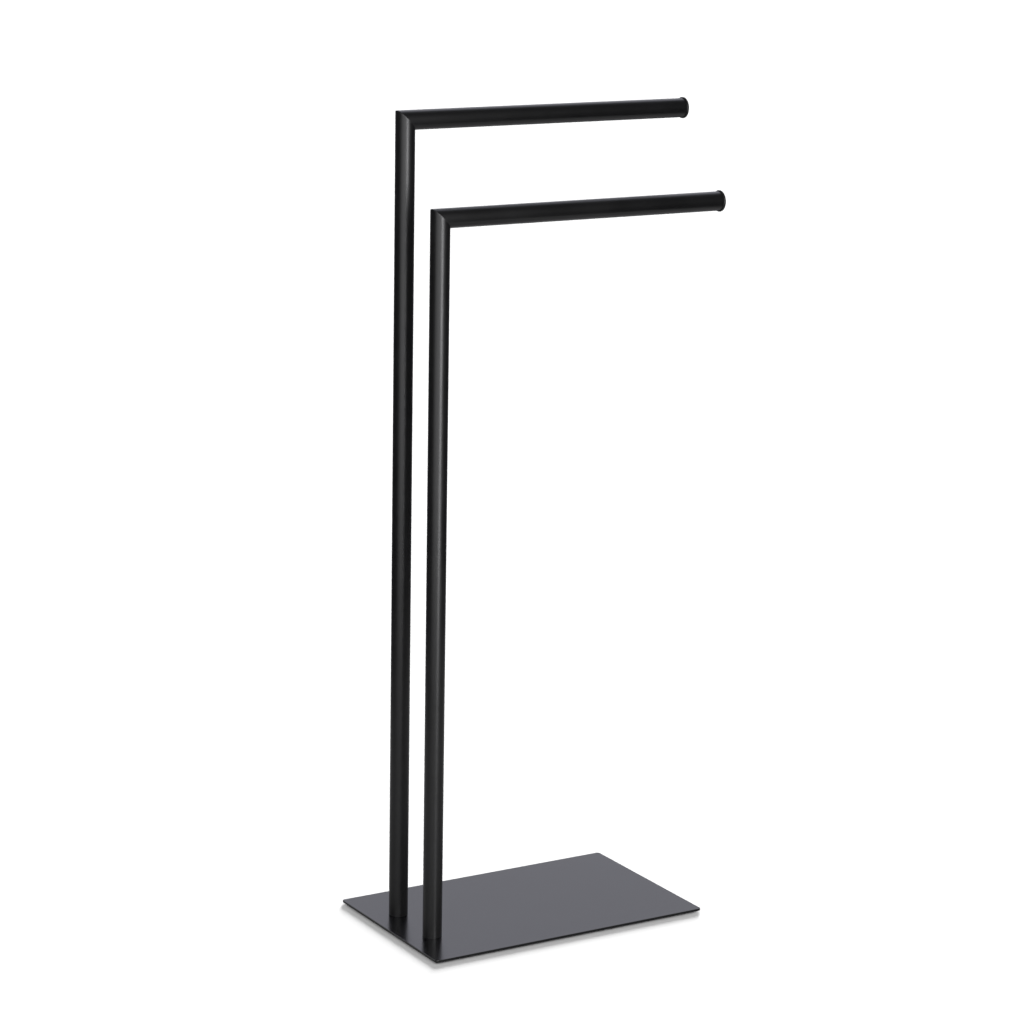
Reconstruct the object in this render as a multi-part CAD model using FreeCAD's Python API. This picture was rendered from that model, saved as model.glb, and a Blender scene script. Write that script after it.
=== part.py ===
import FreeCAD, Part
import os

# Freestanding towel stand, in millimetres. +Z is up and z = 0 is the floor.
# Both arms point along +X. The rear column (+Y) is the tall one.
# The origin lies on the floor, in the middle of the stand's overall box.

# Frame of round tube: two columns, each mitred to one arm
upper_arm_height = 854.0     # floor to the axis of the upper arm
lower_arm_height = 763.0     # floor to the axis of the lower arm
arm_reach = 339.0            # column axis to the outer face of the end cap
column_spacing = 74.0        # axis to axis of the two columns
tube_diameter = 20.4         # 20 mm steel tube and its coat
tube_wall = 1.2              # 1 mm of steel and the coat outside

# Base plate
base_length = 330.0
base_depth = 208.0
base_thickness = 2.5
base_corner_radius = 3.0
base_edge_round = 0.4
column_inset = 33.0          # column axes in from the base's left edge

# Pads stuck under the corners of the base
pad_diameter = 18.0
pad_thickness = 1.0
pad_edge_round = 0.3
pad_inset = 17.0             # pad axes in from both edges of the base

# Mitre welds, ground flush outside
weld_gap = 1.2               # gap between the two mitred tube ends
weld_root = 0.4              # height of the bead inside the tube

# End caps: a disc with a ribbed spigot that presses into the arm
cap_diameter = 22.6
cap_thickness = 2.2
cap_edge_round = 0.6
spigot_length = 16.0
spigot_wall = 1.6
spigot_clearance = 0.4       # gap between the spigot and the tube's bore
rib_width = 1.2
rib_count = 6
rib_clearance = 0.02         # gap between the crushed ribs and the bore

# Foot plugs, tapped for the foot screws and welded in at their lower rim
plug_length = 25.0
plug_clearance = 0.05        # gap between the plug and the tube's bore
plug_recess = 0.3            # plug's lower face above the tube's lower end
plug_weld_size = 1.5         # leg of the ring weld round the plug's rim
thread_mouth = 1.0           # chamfer at the mouth of the tapped hole
thread_clearance = 0.05      # gap between the screw and the tapped hole

# Foot screws, countersunk with a hexagon socket
screw_diameter = 5.0
screw_length = 16.0
screw_head_diameter = 9.4
screw_point = 0.8            # chamfer at the screw's end
socket_width = 3.0           # across the flats
socket_depth = 2.0
head_sink = 0.1              # head's face above the underside of the base
head_clearance = 0.05        # gap between the head and its countersink
screw_hole_clearance = 0.3   # gap between the screw and the base's hole

largest_round = 0.45         # edge round's limit, as a share of the wall it is on

up = FreeCAD.Vector(0, 0, 1)
along_arm = FreeCAD.Vector(1, 0, 0)

tube_radius = tube_diameter / 2
bore_radius = tube_radius - tube_wall
overall_length = max(base_length, column_inset + arm_reach)
base_left = -overall_length / 2
base_underside = pad_thickness
base_top = base_underside + base_thickness
column_x = base_left + column_inset
arm_end = column_x + arm_reach
tube_end = arm_end - cap_thickness
larger_than_all = 2 * (upper_arm_height + overall_length + base_depth)


def save(shape, node):
    shape.exportStep("parts/" + node + ".step")


def ring(outer_radius, inner_radius, length, start, direction):
    outer = Part.makeCylinder(outer_radius, length, start, direction)
    return outer.cut(Part.makeCylinder(inner_radius, length, start, direction))


def turned(profile, axis_point):
    """A solid of revolution about a vertical axis. The profile lists (radius, height)."""
    points = [FreeCAD.Vector(radius, 0, height) for radius, height in profile]
    face = Part.Face(Part.makePolygon(points + [points[0]]))
    solid = face.revolve(FreeCAD.Vector(0, 0, 0), up, 360)
    solid.translate(axis_point)
    return solid


def round_rims(shape, radius, heights):
    """Rounds the edges that lie flat at the given heights."""
    rims = []
    for edge in shape.Edges:
        box = edge.BoundBox
        flat = box.ZLength < 1e-6
        if flat and any(abs(box.ZMin - height) < 1e-6 for height in heights):
            rims.append(edge)
    return shape.makeFillet(radius, rims)


def mitre_slice(corner, start, end):
    """The space between two planes parallel to a mitre, by their distance from it."""
    normal = up + along_arm
    normal.normalize()
    turn = FreeCAD.Rotation(up, normal)
    low_corner = FreeCAD.Vector(-larger_than_all / 2, -larger_than_all / 2, start)
    slab = Part.makeBox(larger_than_all, larger_than_all, end - start)
    slab.Placement = FreeCAD.Placement(corner + turn.multVec(low_corner), turn)
    return slab


def base_plate():
    """Flat plate with rounded corners and two countersunk holes from below."""
    front_left = FreeCAD.Vector(base_left, -base_depth / 2, base_underside)
    plate = Part.makeBox(base_length, base_depth, base_thickness, front_left)
    corners = [edge for edge in plate.Edges if edge.BoundBox.ZLength > base_thickness / 2]
    plate = plate.makeFillet(base_corner_radius, corners)
    edge_round = min(base_edge_round, largest_round * base_thickness)
    plate = round_rims(plate, edge_round, [base_underside, base_top])
    hole_radius = screw_diameter / 2 + screw_hole_clearance
    mouth_radius = screw_head_diameter / 2 + head_sink + head_clearance
    cone_height = mouth_radius - hole_radius
    for axis_y in column_positions.values():
        start = FreeCAD.Vector(column_x, axis_y, base_underside)
        plate = plate.cut(Part.makeCylinder(hole_radius, base_thickness, start, up))
        cone = Part.makeCone(mouth_radius, hole_radius, cone_height, start, up)
        plate = plate.cut(cone)
    return plate


def corner_of(axis_y, arm_height):
    return FreeCAD.Vector(column_x, axis_y, arm_height)


def column_tube(axis_y, arm_height, inner_radius):
    """Vertical tube, left long at the top for the mitre cut."""
    foot = FreeCAD.Vector(column_x, axis_y, base_top)
    length = arm_height - base_top + tube_diameter
    return ring(tube_radius, inner_radius, length, foot, up)


def arm_tube(axis_y, arm_height, inner_radius):
    """Horizontal tube, left long at the column for the mitre cut."""
    start = FreeCAD.Vector(column_x - tube_diameter, axis_y, arm_height)
    length = tube_end - column_x + tube_diameter
    return ring(tube_radius, inner_radius, length, start, along_arm)


def column(axis_y, arm_height):
    keep = mitre_slice(corner_of(axis_y, arm_height), -larger_than_all, -weld_gap / 2)
    return column_tube(axis_y, arm_height, bore_radius).common(keep)


def arm(axis_y, arm_height):
    keep = mitre_slice(corner_of(axis_y, arm_height), weld_gap / 2, larger_than_all)
    return arm_tube(axis_y, arm_height, bore_radius).common(keep)


def mitre_weld(axis_y, arm_height):
    """Weld metal between the two mitred ends, flush outside and proud inside."""
    corner = corner_of(axis_y, arm_height)
    inner_radius = bore_radius - weld_root
    column_half = mitre_slice(corner, -weld_gap / 2, 0)
    column_half = column_half.common(column_tube(axis_y, arm_height, inner_radius))
    arm_half = mitre_slice(corner, 0, weld_gap / 2)
    arm_half = arm_half.common(arm_tube(axis_y, arm_height, inner_radius))
    return column_half.fuse(arm_half).removeSplitter()


def end_cap(axis_y, arm_height):
    """Disc that covers the tube's end, with a hollow spigot and crush ribs inside the bore."""
    seat = FreeCAD.Vector(tube_end, axis_y, arm_height)
    disc = Part.makeCylinder(cap_diameter / 2, cap_thickness, seat, along_arm)
    rims = [edge for edge in disc.Edges if edge.BoundBox.XLength < 1e-6]
    disc = disc.makeFillet(min(cap_edge_round, largest_round * cap_thickness), rims)
    spigot_start = FreeCAD.Vector(tube_end - spigot_length, axis_y, arm_height)
    spigot_radius = bore_radius - spigot_clearance
    hollow_radius = spigot_radius - spigot_wall
    spigot = ring(spigot_radius, hollow_radius, spigot_length, spigot_start, along_arm)
    cap = disc.fuse(spigot)
    rib_height = bore_radius - rib_clearance - hollow_radius - spigot_wall / 2
    rib_bottom = hollow_radius + spigot_wall / 2
    bore = Part.makeCylinder(bore_radius - rib_clearance, spigot_length, spigot_start, along_arm)
    for index in range(rib_count):
        corner = spigot_start + FreeCAD.Vector(0, -rib_width / 2, rib_bottom)
        rib = Part.makeBox(spigot_length, rib_width, rib_height, corner)
        rib.rotate(seat, along_arm, index * 360 / rib_count)
        cap = cap.fuse(rib.common(bore))
    return cap.removeSplitter()


def foot_plug(axis_y):
    """Turned plug in the column's foot, tapped right through, with a weld bevel at its lower rim."""
    radius = bore_radius - plug_clearance
    hole = screw_diameter / 2 + thread_clearance
    profile = [
        (hole + thread_mouth, 0),
        (radius - plug_weld_size, 0),
        (radius, plug_weld_size),
        (radius, plug_length),
        (hole, plug_length),
        (hole, thread_mouth),
    ]
    return turned(profile, FreeCAD.Vector(column_x, axis_y, base_top + plug_recess))


def foot_weld(axis_y):
    """Ring weld that fills the plug's bevel and joins it to the tube's bore."""
    radius = bore_radius - plug_clearance
    profile = [
        (radius - plug_weld_size, 0),
        (bore_radius, 0),
        (bore_radius, plug_weld_size),
        (radius, plug_weld_size),
    ]
    return turned(profile, FreeCAD.Vector(column_x, axis_y, base_top + plug_recess))


def foot_screw(axis_y):
    """Countersunk screw, up through the base and into the foot plug."""
    radius = screw_diameter / 2
    head_radius = screw_head_diameter / 2
    cone_height = head_radius - radius
    profile = [
        (0, 0),
        (head_radius, 0),
        (radius, cone_height),
        (radius, screw_length - screw_point),
        (radius - screw_point, screw_length),
        (0, screw_length),
    ]
    underside = FreeCAD.Vector(column_x, axis_y, base_underside + head_sink)
    screw = turned(profile, underside)
    corner_radius = socket_width / 3 ** 0.5
    hexagon = Part.makePolygon([
        FreeCAD.Rotation(up, index * 60).multVec(FreeCAD.Vector(corner_radius, 0, 0))
        for index in range(7)
    ])
    socket = Part.Face(hexagon).extrude(up * socket_depth)
    socket.translate(underside)
    return screw.cut(socket)


def pad(axis_x, axis_y):
    """Round rubber pad, softened at its lower rim."""
    disc = Part.makeCylinder(pad_diameter / 2, pad_thickness, FreeCAD.Vector(axis_x, axis_y, 0))
    return round_rims(disc, min(pad_edge_round, largest_round * pad_thickness), [0])


column_positions = {"rear": column_spacing / 2, "front": -column_spacing / 2}
arm_heights = {"rear": upper_arm_height, "front": lower_arm_height}
arm_names = {"rear": "upper", "front": "lower"}

pad_left = base_left + pad_inset
pad_right = base_left + base_length - pad_inset
pad_row = base_depth / 2 - pad_inset

os.makedirs("parts", exist_ok=True)
save(base_plate(), "base_plate")
for side, axis_y in column_positions.items():
    height = arm_heights[side]
    level = arm_names[side]
    save(column(axis_y, height), side + "_column")
    save(arm(axis_y, height), level + "_arm")
    save(mitre_weld(axis_y, height), level + "_mitre_weld")
    save(end_cap(axis_y, height), level + "_arm_end_cap")
    save(foot_plug(axis_y), side + "_foot_plug")
    save(foot_weld(axis_y), side + "_foot_weld")
    save(foot_screw(axis_y), side + "_foot_screw")
for side, pad_y in {"rear": pad_row, "front": -pad_row}.items():
    save(pad(pad_left, pad_y), side + "_left_pad")
    save(pad(pad_right, pad_y), side + "_right_pad")
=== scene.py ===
from functools import partial
from math import atan2, cos, degrees, radians, sin, sqrt, tan

import bmesh
import bpy
from mathutils import Matrix, Vector


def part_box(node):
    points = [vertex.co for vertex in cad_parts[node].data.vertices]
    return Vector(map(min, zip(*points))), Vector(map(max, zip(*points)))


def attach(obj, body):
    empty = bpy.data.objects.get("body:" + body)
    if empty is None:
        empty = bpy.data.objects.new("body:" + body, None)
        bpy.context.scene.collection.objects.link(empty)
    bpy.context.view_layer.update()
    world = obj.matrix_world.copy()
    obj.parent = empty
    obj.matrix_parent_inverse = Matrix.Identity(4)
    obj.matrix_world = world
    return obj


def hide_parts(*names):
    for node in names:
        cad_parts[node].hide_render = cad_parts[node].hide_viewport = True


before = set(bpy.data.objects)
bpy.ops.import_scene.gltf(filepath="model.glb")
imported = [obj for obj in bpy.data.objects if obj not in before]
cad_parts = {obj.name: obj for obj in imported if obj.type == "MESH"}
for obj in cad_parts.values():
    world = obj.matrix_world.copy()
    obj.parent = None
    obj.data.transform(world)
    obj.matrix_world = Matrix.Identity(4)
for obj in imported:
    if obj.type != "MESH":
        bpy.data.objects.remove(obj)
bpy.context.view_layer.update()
bpy.ops.object.select_all(action="DESELECT")


# Base plate: 2.5 mm sheet steel with small rounded corners, its edges dulled before
# coating. Two holes, countersunk from below, take the foot screws. It is powder
# coated satin black on every side.
plate_corner_radius = 0.003
plate_edge_round = 0.0004
screw_hole_radius = 0.0028
countersink_radius = 0.00485
drill_reach = 0.006
round_segments = 64
crease_angle = radians(32)
hairline = 1e-6


def middle_of(node):
    low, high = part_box(node)
    return [(start + end) / 2 for start, end in zip(low, high)]


def pick(piece):
    """Leaves edit mode and selects only this piece."""
    bpy.ops.object.mode_set(mode="OBJECT")
    bpy.ops.object.select_all(action="DESELECT")
    piece.select_set(True)
    bpy.context.view_layer.objects.active = piece


def select(piece, kind, wanted):
    """In edit mode, selects only the vertices, edges or faces that are wanted."""
    bpy.ops.mesh.select_mode(type=kind)
    bpy.ops.mesh.select_all(action="DESELECT")
    mesh = bmesh.from_edit_mesh(piece.data)
    for element in {"VERT": mesh.verts, "EDGE": mesh.edges, "FACE": mesh.faces}[kind]:
        element.select_set(wanted(element))
    mesh.select_flush_mode()
    bmesh.update_edit_mesh(piece.data)


def lies_flat(edge, height):
    return all(abs(corner.co.z - height) < hairline for corner in edge.verts)


def start_piece(name):
    """Names the primitive just added, settles its place into its mesh and edits it."""
    piece = bpy.context.active_object
    piece.name = name
    bpy.ops.object.transform_apply(location=True, rotation=True, scale=True)
    bpy.ops.object.mode_set(mode="EDIT")
    return piece


def shape_with(piece, kind, **settings):
    """Gives the piece a modifier and applies it."""
    pick(piece)
    modifier = piece.modifiers.new(kind.lower(), kind)
    for setting, value in settings.items():
        setattr(modifier, setting, value)
    bpy.ops.object.modifier_apply(modifier=modifier.name)


def combine(piece, tool, operation):
    """Cuts, joins or crosses the piece with the tool's shape and deletes the tool."""
    shape_with(piece, "BOOLEAN", operation=operation, solver="EXACT", object=tool)
    bpy.data.objects.remove(tool)


def finish_piece(piece, material, slot, *nodes):
    """Smooths the piece, gives it its finish and puts it in place of its CAD nodes."""
    pick(piece)
    bpy.ops.object.shade_smooth_by_angle(angle=crease_angle)
    shape_with(piece, "WEIGHTED_NORMAL", keep_sharp=True)
    piece.data.materials.clear()
    piece.data.materials.append(material)
    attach(piece, "root")
    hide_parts(*nodes)
    piece.select_set(False)


def feed(node, inputs):
    """Sets a node's sockets, or links those that are given another node's output."""
    for socket, value in inputs.items():
        if isinstance(value, bpy.types.NodeSocket):
            node.id_data.links.new(value, node.inputs[socket])
        else:
            node.inputs[socket].default_value = value


def add_node(tree, kind, inputs=None, **settings):
    node = tree.nodes.new(kind)
    for setting, value in settings.items():
        setattr(node, setting, value)
    feed(node, inputs or {})
    return node


def new_material(name):
    """A material with its main shader, and a way to add nodes to it."""
    material = bpy.data.materials.new(name)
    material.use_nodes = True
    shader = material.node_tree.nodes["Principled BSDF"]
    return material, shader, partial(add_node, material.node_tree)


def noise(add, place, scale, detail):
    node = add("ShaderNodeTexNoise", {"Vector": place, "Scale": scale, "Detail": detail})
    return node.outputs["Fac"]


def tone_between(add, value, dark, light):
    """A colour that goes from dark to light as the value rises, from (value, colour) pairs."""
    ramp = add("ShaderNodeValToRGB", {"Fac": value})
    for element, (position, colour) in zip(ramp.color_ramp.elements, (dark, light)):
        element.position = position
        element.color = (*colour, 1)
    return ramp.outputs["Color"]


def spread(add, value, low, high, value_low=0.0, value_high=1.0):
    """A number that goes from low to high as the value rises."""
    node = add("ShaderNodeMapRange", {"Value": value, "To Min": low, "To Max": high,
                                      "From Min": value_low, "From Max": value_high})
    return node.outputs["Result"]


def bumps(add, height, strength, depth, under=None):
    """Raises the surface where the height is great, over finer bumps where there are any."""
    inputs = {"Height": height, "Strength": strength, "Distance": depth}
    if under:
        inputs["Normal"] = under
    return add("ShaderNodeBump", inputs).outputs["Normal"]


def satin_black(name, least_rough, most_rough):
    """Black powder coat, a little cloudy, with a fine peel and grain in its surface."""
    material, shader, add = new_material(name)
    place = add("ShaderNodeTexCoord").outputs["Object"]
    cloud = noise(add, place, scale=22.0, detail=3.0)
    grain = bumps(add, noise(add, place, scale=3200.0, detail=1.0), strength=0.25, depth=0.00002)
    peel = noise(add, place, scale=700.0, detail=2.0)
    feed(shader, {
        "Base Color": tone_between(add, cloud, dark=(0.35, (0.0046, 0.0046, 0.0052)),
                                   light=(0.65, (0.0058, 0.0058, 0.0066))),
        "Specular IOR Level": 0.5,
        "Roughness": spread(add, cloud, least_rough, most_rough, value_low=0.3, value_high=0.7),
        "Normal": bumps(add, peel, strength=0.4, depth=0.00004, under=grain),
    })
    return material


sheet_coat = satin_black("satin_black_on_sheet", least_rough=0.20, most_rough=0.23)

plate_low, plate_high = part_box("base_plate")
column_x = middle_of("rear_column")[0]
column_rows = {side: middle_of(side + "_column")[1] for side in ("rear", "front")}

bpy.ops.mesh.primitive_cube_add(size=1, location=(plate_low + plate_high) / 2,
                                scale=plate_high - plate_low)
plate = start_piece("plate")
select(plate, "EDGE", lambda edge: edge.verts[0].co.xy == edge.verts[1].co.xy)
bpy.ops.mesh.bevel(offset=plate_corner_radius, segments=12, affect="EDGES")
select(plate, "EDGE", lambda edge: lies_flat(edge, plate_low.z) or lies_flat(edge, plate_high.z))
bpy.ops.mesh.bevel(offset=plate_edge_round, segments=4, affect="EDGES")
for row in column_rows.values():
    pick(plate)
    bpy.ops.mesh.primitive_cylinder_add(
        vertices=round_segments, radius=screw_hole_radius, depth=2 * drill_reach,
        location=(column_x, row, plate_low.z))
    combine(plate, start_piece("drill"), "DIFFERENCE")
    cone_depth = 2 * (countersink_radius - screw_hole_radius)
    bpy.ops.mesh.primitive_cone_add(
        vertices=round_segments, radius1=countersink_radius + cone_depth / 2,
        radius2=screw_hole_radius, depth=cone_depth, location=(column_x, row, plate_low.z))
    combine(plate, start_piece("countersink"), "DIFFERENCE")
finish_piece(plate, sheet_coat, "powder_coat", "base_plate")


# Columns and arms: round steel tube, 20 mm across with a 1 mm wall. Each column is
# mitred at the top and its arm at the near end, and the two are welded. The column's
# foot and the arm's far end are cut square. The frame is powder coated after welding.
tube_wall = 0.0012
tube_segments = 96
weld_gap = 0.0012
mitre_normal = Vector((1, 0, 1)).normalized()
column_low, column_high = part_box("rear_column")
tube_radius = (column_high.y - column_low.y) / 2
bore_radius = tube_radius - tube_wall
arm_names = {"rear": "upper", "front": "lower"}
arm_heights = {side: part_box(level + "_arm")[1].z - tube_radius
               for side, level in arm_names.items()}
tube_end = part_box("upper_arm")[1].x


def open_tube(name, start, end, radii):
    """Two open shells along a line, the outer facing outwards and the inner inwards."""
    along = end - start
    turn = along.to_track_quat("Z", "Y").to_euler()
    bpy.ops.mesh.primitive_cylinder_add(
        vertices=tube_segments, radius=radii[0], depth=along.length, end_fill_type="NOTHING",
        location=(start + end) / 2, rotation=turn)
    tube = start_piece(name)
    bpy.ops.mesh.primitive_cylinder_add(
        vertices=tube_segments, radius=radii[1], depth=along.length, end_fill_type="NOTHING",
        location=(start + end) / 2, rotation=turn)
    bpy.ops.mesh.flip_normals()
    return tube


def trim(point, normal):
    """Cuts all of the mesh in a plane and throws away the side the normal points to."""
    bpy.ops.mesh.select_mode(type="VERT")
    bpy.ops.mesh.select_all(action="SELECT")
    bpy.ops.mesh.bisect(plane_co=point, plane_no=normal, clear_outer=True, threshold=hairline)


def off_plane(element, point, normal):
    return max(abs((corner.co - point).dot(normal)) for corner in element.verts)


def close_end(piece, point, normal):
    """Joins the outer and inner rims that lie in a plane, which closes the wall there."""
    select(piece, "EDGE", lambda edge: edge.is_boundary
           and off_plane(edge, point, normal) < hairline)
    bpy.ops.mesh.bridge_edge_loops()


def face_outwards():
    bpy.ops.mesh.select_all(action="SELECT")
    bpy.ops.mesh.normals_make_consistent(inside=False)


column_coat = satin_black("satin_black_on_columns", least_rough=0.34, most_rough=0.37)
arm_coat = satin_black("satin_black_on_arms", least_rough=0.28, most_rough=0.31)

for side, row in column_rows.items():
    corner = Vector((column_x, row, arm_heights[side]))
    foot = Vector((column_x, row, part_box(side + "_column")[0].z))
    overlap = 2 * tube_radius

    column = open_tube(side + "_upright", foot, corner + Vector((0, 0, overlap)),
                       (tube_radius, bore_radius))
    column_seam = corner - mitre_normal * weld_gap / 2
    trim(column_seam, mitre_normal)
    close_end(column, column_seam, mitre_normal)
    close_end(column, foot, Vector((0, 0, 1)))
    face_outwards()
    finish_piece(column, column_coat, "powder_coat", side + "_column")

    level = arm_names[side]
    far_end = Vector((tube_end, row, arm_heights[side]))
    arm = open_tube(level + "_rail", corner - Vector((overlap, 0, 0)), far_end,
                    (tube_radius, bore_radius))
    arm_seam = corner + mitre_normal * weld_gap / 2
    trim(arm_seam, -mitre_normal)
    close_end(arm, arm_seam, mitre_normal)
    close_end(arm, far_end, Vector((1, 0, 0)))
    face_outwards()
    finish_piece(arm, arm_coat, "powder_coat", level + "_arm")


# Mitre welds: the bead that fills the gap between column and arm. Its outside is ground
# flush before coating, so only a crisp crease shows, and its root stands a little proud
# inside the tube.
weld_root = 0.0004
crease_round = 0.00025
bead_reach = 3 * tube_radius


def place_copies(model, places, material, slot):
    """Copies a piece modelled at the origin to its places, by its name and CAD node."""
    for name, (node, place) in places.items():
        pick(model)
        bpy.ops.object.duplicate_move(TRANSFORM_OT_translate={"value": place})
        piece = bpy.context.active_object
        piece.name = name
        bpy.ops.object.transform_apply(location=True, rotation=False, scale=False)
        finish_piece(piece, material, slot, node)
    bpy.data.objects.remove(model)


def on_arms(name, node, x):
    """The places of a piece that sits on each arm's axis, by its name and node there."""
    return {arm_names[side] + name: (arm_names[side] + node, Vector((x, row, arm_heights[side])))
            for side, row in column_rows.items()}


middle = Vector((0, 0, 0))
below = Vector((0, 0, -bead_reach))
bead = open_tube("bead", below, -below, (tube_radius, bore_radius - weld_root))
trim(middle, mitre_normal)
trim(-mitre_normal * weld_gap / 2, -mitre_normal)
select(bead, "EDGE", lambda edge: off_plane(edge, middle, mitre_normal) < hairline)
bpy.ops.mesh.extrude_edges_move(TRANSFORM_OT_translate={"value": (weld_gap / sqrt(2), 0, 0)})
close_end(bead, -mitre_normal * weld_gap / 2, mitre_normal)
close_end(bead, mitre_normal * weld_gap / 2, mitre_normal)
select(bead, "EDGE", lambda edge: off_plane(edge, middle, mitre_normal) < hairline
       and edge.verts[0].co.xy.length > bore_radius)
bpy.ops.mesh.bevel(offset=crease_round, segments=3, affect="EDGES")
face_outwards()
place_copies(bead, on_arms("_bead", "_mitre_weld", column_x), column_coat, "powder_coat")


# Foot plugs: a steel plug in each column's foot, turned on a lathe and tapped M5. Its
# lower rim is bevelled for the weld that holds it in the tube.
plug_weld_size = 0.0015
plug_chamfer = 0.0005
tapped_radius = 0.00255
thread_mouth = 0.001
first_square = 0.001
plug_low, plug_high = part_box("rear_foot_plug")
plug_radius = (plug_high.y - plug_low.y) / 2
plug_length = plug_high.z - plug_low.z


def draw_outline(name, profile):
    """A line through (radius, height) points. A small square, merged into the first
    point, is extruded from each point to the next."""
    points = [Vector((radius, 0, height)) for radius, height in profile]
    bpy.ops.mesh.primitive_plane_add(size=first_square, location=points[0])
    piece = start_piece(name)
    bpy.ops.mesh.select_mode(type="VERT")
    bpy.ops.mesh.select_all(action="SELECT")
    bpy.ops.mesh.merge(type="CENTER")
    for start, end in zip(points, points[1:]):
        bpy.ops.mesh.extrude_vertices_move(TRANSFORM_OT_translate={"value": end - start})
    return piece


def merge_doubles():
    bpy.ops.mesh.select_all(action="SELECT")
    bpy.ops.mesh.remove_doubles(threshold=hairline)


def turned(name, profile):
    """A piece turned about the upright axis at the origin, from (radius, height) points."""
    piece = draw_outline(name, profile)
    bpy.ops.mesh.select_all(action="SELECT")
    bpy.ops.mesh.spin(steps=round_segments, angle=radians(360), center=(0, 0, 0),
                      axis=(0, 0, 1))
    merge_doubles()
    face_outwards()
    return piece


def at_feet(name, node, height):
    """The places of a piece at the foot of each column, by its name and node there."""
    return {side + name: (side + node, Vector((column_x, row, height)))
            for side, row in column_rows.items()}


def turned_steel(name):
    """Bare steel with fine tool rings, both round its sides and on its end faces."""
    material, shader, add = new_material(name)
    place = add("ShaderNodeTexCoord").outputs["Object"]
    cloud = noise(add, place, scale=180.0, detail=4.0)
    parts = add("ShaderNodeSeparateXYZ", {"Vector": place}).outputs
    mirrored = add("ShaderNodeMath", {0: parts["Y"]}, operation="ABSOLUTE").outputs[0]
    either_column = add("ShaderNodeCombineXYZ", {"X": parts["X"], "Y": mirrored, "Z": parts["Z"]})
    centred = add("ShaderNodeMapping", {"Vector": either_column.outputs["Vector"],
                                        "Location": (-column_x, -column_rows["rear"], 0)})
    rings = add("ShaderNodeTexWave", {"Vector": centred.outputs["Vector"], "Scale": 900.0,
                                      "Distortion": 0.4}, wave_type="RINGS",
                rings_direction="SPHERICAL")
    feed(shader, {
        "Base Color": tone_between(add, cloud, dark=(0.3, (0.44, 0.44, 0.43)),
                                   light=(0.7, (0.56, 0.56, 0.55))),
        "Metallic": 1.0,
        "Roughness": spread(add, cloud, 0.26, 0.42),
        "Normal": bumps(add, rings.outputs["Fac"], strength=0.5, depth=0.00002),
    })
    return material


plug = turned("plug", [
    (tapped_radius + thread_mouth, 0),
    (plug_radius - plug_weld_size, 0),
    (plug_radius, plug_weld_size),
    (plug_radius, plug_length - plug_chamfer),
    (plug_radius - plug_chamfer, plug_length),
    (tapped_radius + plug_chamfer, plug_length),
    (tapped_radius, plug_length - plug_chamfer),
    (tapped_radius, thread_mouth),
    (tapped_radius + thread_mouth, 0),
])
place_copies(plug, at_feet("_plug", "_foot_plug", plug_low.z), turned_steel("turned_steel"),
             "plug_steel")


# Foot welds: a ring of weld metal in the plug's bevel, which joins the plug to the
# tube's bore. It is ground level with the plug's face and keeps its heat tint.
def weld_steel(name):
    """Weld metal, straw to blue-grey, with the ripples of the bead."""
    material, shader, add = new_material(name)
    place = add("ShaderNodeTexCoord").outputs["Object"]
    cloud = noise(add, place, scale=240.0, detail=5.0)
    feed(shader, {
        "Base Color": tone_between(add, cloud, dark=(0.35, (0.34, 0.31, 0.26)),
                                   light=(0.65, (0.40, 0.42, 0.46))),
        "Metallic": 1.0,
        "Roughness": spread(add, cloud, 0.35, 0.6),
        "Normal": bumps(add, cloud, strength=0.8, depth=0.0001),
    })
    return material


plug_weld = turned("plug_weld", [
    (plug_radius - plug_weld_size, 0),
    (bore_radius, 0),
    (bore_radius, plug_weld_size),
    (plug_radius, plug_weld_size),
    (plug_radius - plug_weld_size, 0),
])
place_copies(plug_weld, at_feet("_plug_weld", "_foot_weld", plug_low.z),
             weld_steel("tinted_weld"), "plug_steel")


# End caps: satin black moulded plastic, a disc a little wider than the tube with a
# hollow spigot behind it. Six crush ribs hold the spigot in the arm's bore. The gate
# mark of the mould is a shallow dimple in the middle of the face.
cap_edge_round = 0.0006
spigot_length = 0.016
spigot_lead = 0.001
lead_share = 0.96
spigot_wall = 0.0016
spigot_clearance = 0.0004
rib_clearance = 0.00002
rib_count = 6
gate_radius = 0.0012
gate_depth = 0.00015
cap_low, cap_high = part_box("upper_arm_end_cap")
cap_radius = (cap_high.y - cap_low.y) / 2
cap_thickness = cap_high.x - tube_end
spigot_radius = bore_radius - spigot_clearance
rib_radius = bore_radius - rib_clearance


def satin_plastic(name):
    """Black plastic with the spark grain of its mould."""
    material, shader, add = new_material(name)
    place = add("ShaderNodeTexCoord").outputs["Object"]
    cloud = noise(add, place, scale=90.0, detail=3.0)
    spark = noise(add, place, scale=5200.0, detail=2.0)
    feed(shader, {
        "Base Color": tone_between(add, cloud, dark=(0.35, (0.0058, 0.0058, 0.0062)),
                                   light=(0.65, (0.0074, 0.0074, 0.0078))),
        "Roughness": spread(add, cloud, 0.36, 0.44),
        "Normal": bumps(add, spark, strength=0.35, depth=0.00002),
    })
    return material


def from_axis(face):
    return face.calc_center_median().yz.length


def on_rib(face):
    """True for the faces at each rib's place round the axis, counted from straight up."""
    centre = face.calc_center_median()
    rib_turn = 360 / rib_count
    turn = degrees(atan2(centre.y, centre.z)) % rib_turn
    return min(turn, rib_turn - turn) < 360 / tube_segments


def in_spigot(face):
    """True in the seat plane for the spigot's ring and for the feet of its ribs."""
    ring = spigot_radius - spigot_wall < from_axis(face) < spigot_radius
    rib = spigot_radius < from_axis(face) < rib_radius and on_rib(face)
    return abs(face.calc_center_median().x) < hairline and (ring or rib)


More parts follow.
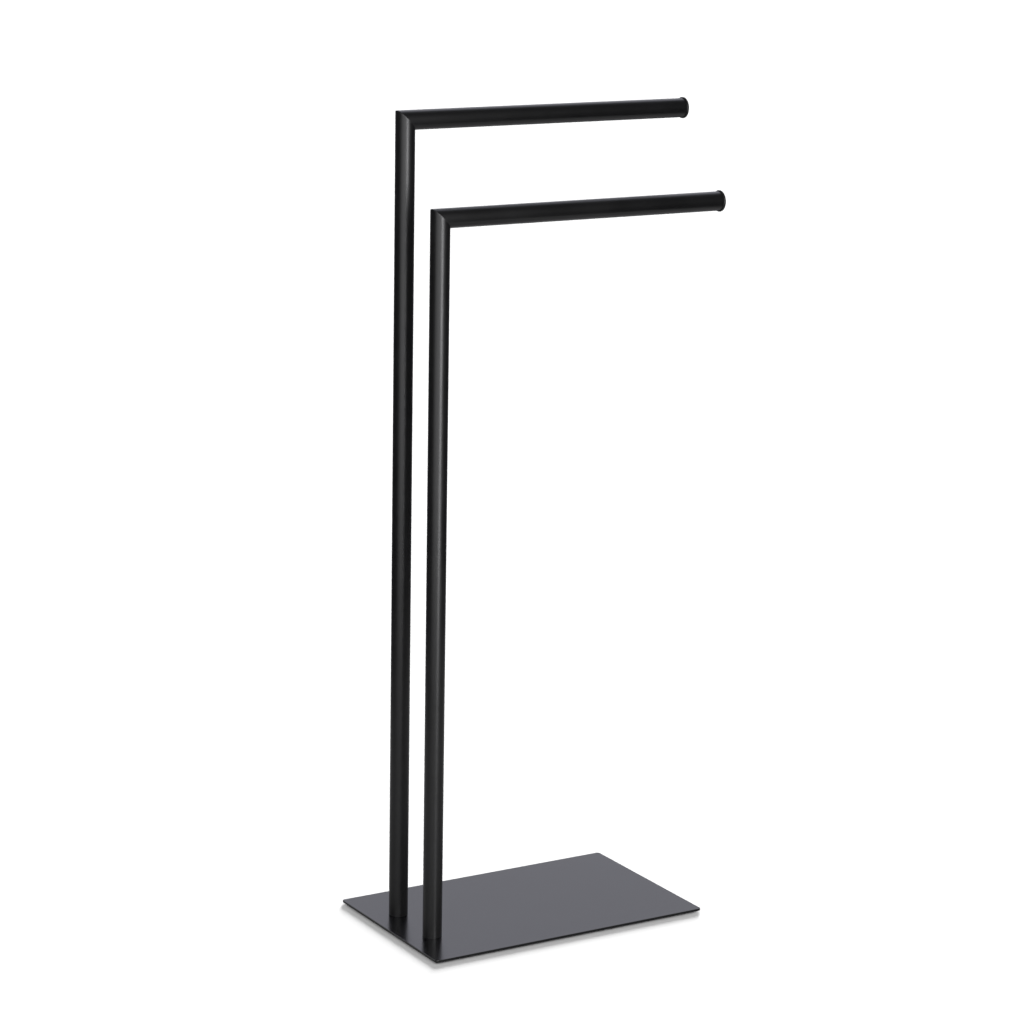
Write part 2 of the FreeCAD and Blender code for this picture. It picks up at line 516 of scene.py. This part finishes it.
bpy.ops.mesh.primitive_cylinder_add(
    vertices=tube_segments, radius=cap_radius, depth=cap_thickness,
    location=(cap_thickness / 2, 0, 0), rotation=(0, radians(90), 0))
cap = start_piece("cap")
select(cap, "EDGE", lambda edge: abs(edge.verts[0].co.x - edge.verts[1].co.x) < hairline)
bpy.ops.mesh.bevel(offset=cap_edge_round, segments=5, affect="EDGES")
select(cap, "FACE", lambda face: len(face.verts) > 4 and face.normal.x > 0)
bpy.ops.mesh.inset(thickness=cap_radius - cap_edge_round - gate_radius)
bpy.ops.mesh.inset(thickness=gate_depth, depth=-gate_depth)
select(cap, "FACE", lambda face: len(face.verts) > 4 and face.normal.x < 0)
bpy.ops.mesh.inset(thickness=cap_radius - cap_edge_round - rib_radius)
bpy.ops.mesh.inset(thickness=rib_radius - spigot_radius)
bpy.ops.mesh.inset(thickness=spigot_wall)
select(cap, "FACE", in_spigot)
bpy.ops.mesh.extrude_region_move(
    TRANSFORM_OT_translate={"value": (spigot_lead - spigot_length, 0, 0)})
bpy.ops.mesh.extrude_region_move(TRANSFORM_OT_translate={"value": (-spigot_lead, 0, 0)})
bpy.ops.transform.resize(value=(1, lead_share, lead_share), center_override=(0, 0, 0))
face_outwards()
place_copies(cap, on_arms("_cap", "_arm_end_cap", tube_end),
             satin_plastic("satin_black_plastic"), "end_cap")


# Foot screws: M5 countersunk screws with a hexagon socket, bright zinc plated. Each goes
# up through the base plate, its head in the countersink, and pulls a column down by the
# thread in its plug.
shank_radius = 0.0025
thread_root = 0.00201
thread_pitch = 0.0008
thread_flank = 0.00025
thread_crest = 0.0001
thread_steps = 37
head_edge = 0.0001
neck_radius = 0.0022
neck_length = 0.0008
point_chamfer = 0.0008
socket_width = 0.003
socket_depth = 0.002
screw_low, screw_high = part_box("rear_foot_screw")
head_radius = (screw_high.y - screw_low.y) / 2
head_height = head_radius - shank_radius
screw_length = screw_high.z - screw_low.z


def bright_zinc(name):
    """Zinc plate with a faint blue cast and the tumbling marks of small screws."""
    material, shader, add = new_material(name)
    place = add("ShaderNodeTexCoord").outputs["Object"]
    cloud = noise(add, place, scale=320.0, detail=4.0)
    marks = noise(add, place, scale=2400.0, detail=3.0)
    feed(shader, {
        "Base Color": tone_between(add, cloud, dark=(0.3, (0.56, 0.57, 0.60)),
                                   light=(0.7, (0.68, 0.69, 0.70))),
        "Metallic": 1.0,
        "Roughness": spread(add, cloud, 0.22, 0.38),
        "Normal": bumps(add, marks, strength=0.3, depth=0.00002),
    })
    return material


thread_start = head_height + neck_length / 2
root_flat = thread_pitch - thread_crest - 2 * thread_flank
thread = draw_outline("thread", [
    (thread_root, 0),
    (thread_root, root_flat),
    (shank_radius, root_flat + thread_flank),
    (shank_radius, root_flat + thread_flank + thread_crest),
    (thread_root, thread_pitch),
])
# The thread's odd number of steps keeps its edges off those of the blank.
shape_with(thread, "SCREW", angle=radians(360), screw_offset=thread_pitch,
           iterations=round(screw_length / thread_pitch) + 1,
           steps=thread_steps, render_steps=thread_steps)
bpy.ops.object.mode_set(mode="EDIT")
merge_doubles()
trim(Vector((0, 0, thread_start)), Vector((0, 0, -1)))
trim(Vector((0, 0, screw_length + head_edge)), Vector((0, 0, 1)))
for height in (thread_start, screw_length + head_edge):
    select(thread, "EDGE", lambda edge: edge.is_boundary and lies_flat(edge, height))
    bpy.ops.mesh.edge_face_add()
face_outwards()

pick(thread)
point_start = screw_length - point_chamfer
blank = turned("blank", [
    (0, 0),
    (shank_radius + head_edge, 0),
    (shank_radius + head_edge, point_start),
    (shank_radius - point_chamfer + head_edge, screw_length),
    (0, screw_length),
])
combine(thread, blank, "INTERSECT")

screw = turned("screw", [
    (0, 0),
    (head_radius - 2 * head_edge, 0),
    (head_radius - head_edge, head_edge),
    (neck_radius, head_radius - neck_radius),
    (neck_radius, head_height + neck_length),
    (0, head_height + neck_length),
])
combine(screw, thread, "UNION")
bpy.ops.mesh.primitive_cylinder_add(vertices=6, radius=socket_width / sqrt(3),
                                    depth=2 * socket_depth, rotation=(0, 0, radians(30)))
combine(screw, start_piece("socket"), "DIFFERENCE")
bpy.ops.object.mode_set(mode="EDIT")
bpy.ops.mesh.select_mode(type="VERT")
merge_doubles()
place_copies(screw, at_feet("_screw", "_foot_screw", screw_low.z), bright_zinc("bright_zinc"),
             "screw_zinc")


# Pads: 1 mm black rubber discs, die cut, softened at the lower rim, and held under the
# plate's corners by a film of adhesive a little smaller than the disc.
pad_edge_round = 0.0003
film_thickness = 0.00015
film_inset = 0.0002
pad_nodes = ["front_left_pad", "front_right_pad", "rear_left_pad", "rear_right_pad"]
pad_low, pad_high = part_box(pad_nodes[0])
disc_thickness = pad_high.z - pad_low.z - film_thickness


def matt_rubber(name):
    """Black rubber with a dull, finely pitted face."""
    material, shader, add = new_material(name)
    place = add("ShaderNodeTexCoord").outputs["Object"]
    cloud = noise(add, place, scale=150.0, detail=4.0)
    pits = add("ShaderNodeTexVoronoi", {"Vector": place, "Scale": 2600.0})
    feed(shader, {
        "Base Color": tone_between(add, cloud, dark=(0.3, (0.024, 0.024, 0.025)),
                                   light=(0.7, (0.036, 0.036, 0.036))),
        "Specular IOR Level": 0.35,
        "Roughness": spread(add, cloud, 0.74, 0.9),
        "Normal": bumps(add, pits.outputs["Distance"], strength=0.5, depth=0.00004),
    })
    return material


bpy.ops.mesh.primitive_cylinder_add(
    vertices=round_segments, radius=(pad_high.y - pad_low.y) / 2, depth=disc_thickness,
    location=(0, 0, disc_thickness / 2))
disc = start_piece("disc")
select(disc, "EDGE", lambda edge: lies_flat(edge, 0))
bpy.ops.mesh.bevel(offset=pad_edge_round, segments=3, affect="EDGES")
select(disc, "FACE", lambda face: len(face.verts) > 4 and face.normal.z > 0)
bpy.ops.mesh.inset(thickness=film_inset)
bpy.ops.mesh.extrude_region_move(TRANSFORM_OT_translate={"value": (0, 0, film_thickness)})
place_copies(disc, {
    node.replace("_pad", "_disc"): (node, Vector((*middle_of(node)[:2], pad_low.z)))
    for node in pad_nodes
}, matt_rubber("matt_rubber"), "pad_rubber")


# Floor: plain and matt. The camera sees it white, except in the stand's shadow, and can't
# see it from below. In the coat's gloss it is a painted glow with a faint polish, and the
# glow is dimmer near the stand, which is painted shade, and grows lighter away from it.
floor_size = 60
floor_drop = 0.0001
floor_tone = 0.45
camera_lift = 0.02
glow_in_painted_shade = 0.26
glow_far = 0.56
glow_start = 0.2
glow_reach = 0.9
polish_share = 0.12
polish_roughness = 0.22

floor_material, floor_shader, add = new_material("white_floor")
rays = add("ShaderNodeLightPath").outputs
lift = add("ShaderNodeMath", {0: rays["Is Camera Ray"], 1: camera_lift}, operation="MULTIPLY")
feed(floor_shader, {
    "Base Color": (floor_tone, floor_tone, floor_tone, 1),
    "Roughness": 1.0,
    "Specular IOR Level": 0.0,
    "Emission Color": (1, 1, 1, 1),
    "Emission Strength": lift.outputs[0],
})
# The glow seen in the gloss is painted: weak near the stand as painted shade, stronger farther
# out.
place = add("ShaderNodeTexCoord").outputs["Object"]
reach = add("ShaderNodeVectorMath", {0: place}, operation="LENGTH").outputs["Value"]
glow_rising_from_painted_shade = spread(add, reach, glow_in_painted_shade, glow_far, value_low=glow_start,
                     value_high=glow_reach)
near = add("ShaderNodeMath", {0: reach, 1: glow_reach}, operation="LESS_THAN")
near_glow = add("ShaderNodeMath", {0: glow_rising_from_painted_shade, 1: near.outputs[0]}, operation="MULTIPLY")
glow = add("ShaderNodeEmission", {"Strength": near_glow.outputs[0]})
polish = add("ShaderNodeBsdfGlossy", {"Color": (1, 1, 1, 1), "Roughness": polish_roughness})
mirrored = add("ShaderNodeMixShader", {"Fac": polish_share, 1: glow.outputs["Emission"],
                                       2: polish.outputs["BSDF"]})
in_gloss = add("ShaderNodeMixShader", {"Fac": rays["Is Glossy Ray"],
                                       1: floor_shader.outputs["BSDF"],
                                       2: mirrored.outputs["Shader"]})
clear = add("ShaderNodeBsdfTransparent")
one_sided = add("ShaderNodeMixShader", {
    "Fac": add("ShaderNodeNewGeometry").outputs["Backfacing"],
    1: in_gloss.outputs["Shader"], 2: clear.outputs["BSDF"]})
feed(floor_material.node_tree.nodes["Material Output"], {"Surface": one_sided.outputs["Shader"]})

bpy.ops.mesh.primitive_plane_add(size=floor_size, location=(0, 0, -floor_drop))
floor = bpy.context.active_object
floor.name = "wide_floor"
floor.data.materials.append(floor_material)
bpy.ops.object.select_all(action="DESELECT")


# Surroundings: plain soft light from all round. The camera sees white. The coat's gloss
# sees a cool white backdrop behind the stand, brighter higher up, and a dim studio in
# front of the stand and below it.
dim_studio = 0.07
to_backdrop = (0.516, 0.857, 0)
backdrop_tint = (0.94, 0.945, 1.06, 1)
backdrop_fade = (0.36, 0.68)
horizon_fade = 0.02
backdrop_foot = sin(radians(10))
backdrop_head = sin(radians(35))
foot_strength = 0.65
head_strength = 1.3

world = bpy.data.worlds.new("studio")
bpy.context.scene.world = world
world.use_nodes = True
world.cycles.sampling_method = "NONE"
sky = partial(add_node, world.node_tree)

direction = sky("ShaderNodeTexCoord").outputs["Generated"]
backwards = sky("ShaderNodeVectorMath", {0: direction, 1: to_backdrop}, operation="DOT_PRODUCT")
upwards = sky("ShaderNodeSeparateXYZ", {"Vector": direction}).outputs["Z"]
behind = spread(sky, backwards.outputs["Value"], 0, 1, *backdrop_fade)
above = spread(sky, upwards, 0, 1, -horizon_fade, horizon_fade)
on_backdrop = sky("ShaderNodeMath", {0: behind, 1: above}, operation="MULTIPLY")
rising = spread(sky, upwards, foot_strength, head_strength, backdrop_foot, backdrop_head)
rays = sky("ShaderNodeLightPath").outputs
backdrop = sky("ShaderNodeBackground", {"Color": backdrop_tint, "Strength": rising})
studio = sky("ShaderNodeBackground", {"Color": (1, 1, 1, 1), "Strength": dim_studio})
reflected = sky("ShaderNodeMixShader", {"Fac": on_backdrop.outputs[0],
                                        1: studio.outputs["Background"],
                                        2: backdrop.outputs["Background"]})
plain = sky("ShaderNodeBackground", {"Color": (1, 1, 1, 1), "Strength": 1.0})
seen = sky("ShaderNodeMixShader", {"Fac": rays["Is Glossy Ray"],
                                   1: plain.outputs["Background"],
                                   2: reflected.outputs["Shader"]})
feed(world.node_tree.nodes["World Output"], {"Surface": seen.outputs["Shader"]})


# Lamps: softboxes in front of the stand that only its gloss sees. A narrow tall pair on
# the right draws the bright line down the columns, and the lower of the two lets it fade
# towards the foot. A wide pair on the left draws the broad sheen.
box_distance = 1.0
box_top = 1.7
box_tint = (0.985, 0.985, 1.0)
camera_side = -121.06
key_side = 30.2
key_width = 17
watts_per_square_metre = 4


def soft_box(name, degrees_right, degrees_wide, bottom, top, radiance):
    """A tall softbox facing the columns, placed and sized by angles seen from them."""
    angle = radians(camera_side + degrees_right)
    place = Vector((column_x + box_distance * cos(angle), box_distance * sin(angle),
                    (bottom + top) / 2))
    bpy.ops.object.light_add(type="AREA", location=place)
    lamp = bpy.context.active_object
    lamp.name = name
    lamp.data.shape = "RECTANGLE"
    lamp.data.size = 2 * box_distance * tan(radians(degrees_wide / 2))
    lamp.data.size_y = top - bottom
    area = lamp.data.size * lamp.data.size_y
    lamp.data.energy = watts_per_square_metre * radiance * area
    lamp.data.color = box_tint
    lamp.rotation_euler = (radians(90), 0, angle + radians(90))
    lamp.visible_diffuse = False
    lamp.select_set(False)
    return lamp


soft_box("key_box", key_side, key_width, bottom=0.2, top=box_top, radiance=7.9)
soft_box("low_key_box", key_side, key_width, bottom=0.05, top=box_top, radiance=4.0)
soft_box("fill_box", -16, degrees_wide=56, bottom=0.12, top=box_top, radiance=0.95)
soft_box("fill_core", -4, degrees_wide=32, bottom=0.12, top=box_top, radiance=0.5)

# Pale walls and a ceiling for the gloss of the plate alone, where there is no backdrop.
plate_alone = bpy.data.collections.new("plate_alone")
plate_alone.objects.link(plate)
for name, degrees_right in {"right_wall": 76, "front_wall": -14, "left_wall": -104}.items():
    wall = soft_box(name, degrees_right, degrees_wide=88, bottom=0.08, top=1.2, radiance=0.5)
    wall.light_linking.receiver_collection = plate_alone

ceiling_height = 2
ceiling_size = 1.6
ceiling_radiance = 0.8
bpy.ops.object.light_add(type="AREA", location=(0, 0, ceiling_height))
ceiling = bpy.context.active_object
ceiling.name = "ceiling"
ceiling.data.size = ceiling_size
ceiling.data.energy = watts_per_square_metre * ceiling_radiance * ceiling.data.size ** 2
ceiling.visible_diffuse = False
ceiling.light_linking.receiver_collection = plate_alone
ceiling.select_set(False)

# A low soft sun from behind, on the right, for the floor alone. The plate alone shades it,
# which leaves a narrow shadow along the plate's near edges.
sun_strength = 33.0
sun_width = radians(16)
sunbeam = Vector((-0.85, -1.1, -0.2))
bpy.ops.object.light_add(type="SUN")
sun = bpy.context.active_object
sun.name = "low_sun"
sun.data.energy = sun_strength
sun.data.angle = sun_width
sun.rotation_euler = sunbeam.to_track_quat("-Z", "Y").to_euler()
sun.visible_glossy = False
floor_alone = bpy.data.collections.new("floor_alone")
floor_alone.objects.link(floor)
sun.light_linking.receiver_collection = floor_alone
sun.light_linking.blocker_collection = plate_alone
sun.select_set(False)


# Camera: a long lens at the photograph's angle, a little above the upper arm. Its place,
# turn, dip and roll line up the straight edges of the stand with the photograph's.
lens_length = 110.91
film_width = 36.0
farthest_seen = 200
camera_place = (-1.7070, -2.7659, 1.1920)
camera_turn = -31.058
camera_dip = 13.071
camera_roll = 0.970

camera_data = bpy.data.cameras.new("camera")
camera = bpy.data.objects.new("camera", camera_data)
bpy.context.collection.objects.link(camera)
camera_data.sensor_width = film_width
camera_data.lens = lens_length
camera_data.clip_end = farthest_seen
camera.matrix_world = (
    Matrix.Translation(camera_place)
    @ Matrix.Rotation(radians(camera_turn), 4, "Z")
    @ Matrix.Rotation(radians(90 - camera_dip), 4, "X")
    @ Matrix.Rotation(radians(camera_roll), 4, "Z")
)
bpy.context.scene.camera = camera

bpy.context.scene.view_settings.view_transform = "Standard"

bpy.context.view_layer.update()
